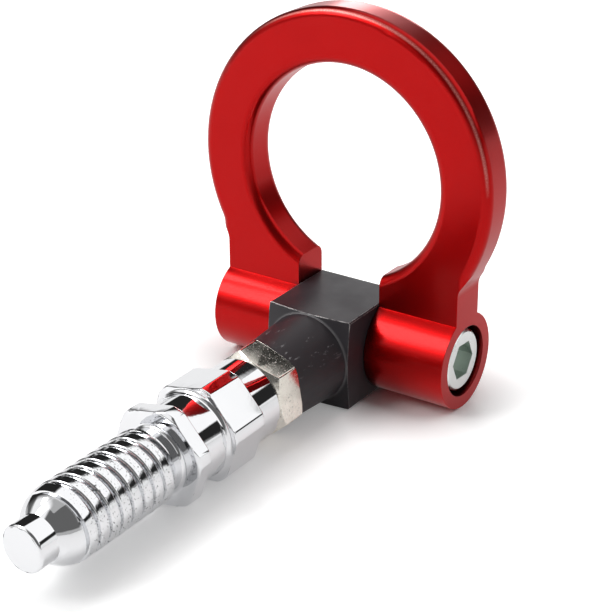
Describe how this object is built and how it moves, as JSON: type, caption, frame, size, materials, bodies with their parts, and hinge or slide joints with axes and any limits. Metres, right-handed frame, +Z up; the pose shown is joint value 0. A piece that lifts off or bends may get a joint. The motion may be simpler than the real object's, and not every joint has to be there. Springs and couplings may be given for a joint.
{
  "type": "tow eye",
  "caption": "Screw-in tow eye: a flat round-edged ring swings on a bolt through a square block, whose shank is locked by a nut to a hexagon adapter with a coarse screw thread.",
  "frame": {"origin": "on the screw axis, in the plane of the flange's seat", "axes": "+X along the pivot bolt towards its head, +Y along the screw axis from the tip towards the ring, +Z up the standing ring"},
  "size_m": [0.094, 0.1526, 0.1109],
  "materials": {
    "ring_red": "red anodised, satin",
    "bolt_steel": "zinc plated",
    "block_black": "black oxide, worn at the edges",
    "nut_nickel": "nickel plated",
    "adapter_chrome": "chrome plated, polished"
  },
  "bodies": {
    "shank": {"eye_block": "block_black", "jam_nut": "nut_nickel", "adapter": "adapter_chrome"},
    "ring": {"tow_ring": "ring_red", "pivot_bolt": "bolt_steel"}
  },
  "joints": [
    {"name": "ring_swing", "type": "hinge", "parent": "shank", "child": "ring", "pos_m": [0, 0.0901, 0], "axis": [1, 0, 0], "range_deg": [-255, 75]}
  ]
}
